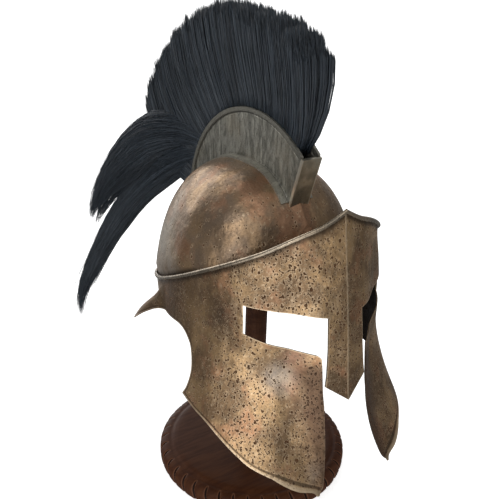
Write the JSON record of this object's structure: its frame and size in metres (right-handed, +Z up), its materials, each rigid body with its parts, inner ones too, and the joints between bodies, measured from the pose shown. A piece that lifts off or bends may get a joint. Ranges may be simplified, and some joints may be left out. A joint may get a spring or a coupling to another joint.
{
  "type": "spartan helmet on a wooden stand",
  "caption": "Closed-face bronze helmet with eye and mouth openings, flared cheeks and neck guard, a raised brow band, a metal crest holder with a black horsehair plume, on a round wooden stand",
  "frame": {"origin": "Centre of the stand base's flat underside, on the post's axis", "axes": "+Z up along the post; the face looks along -Y; the wearer's right side is -X, where the plume's tail swings"},
  "size_m": [0.2302, 0.4458, 0.5012],
  "materials": {
    "bronze_face": "aged golden bronze, closely pitted, with copper and grey patches",
    "bronze_skull": "brown aged bronze, smooth, with pale worn and copper patches",
    "pewter": "dark pewter grey, chiselled upright streaks",
    "horsehair": "dense black horsehair with a bluish sheen",
    "mahogany": "dark reddish-brown polished wood, carved rope edge"
  },
  "bodies": {
    "root": {"face_shell": "bronze_face", "brow_band": "bronze_face", "skull": "bronze_skull", "crest_holder": "pewter", "crest_front_plate": "pewter", "plume": "horsehair", "stand_base": "mahogany", "stand_post": "mahogany", "stand_head": "mahogany"}
  },
  "joints": []
}
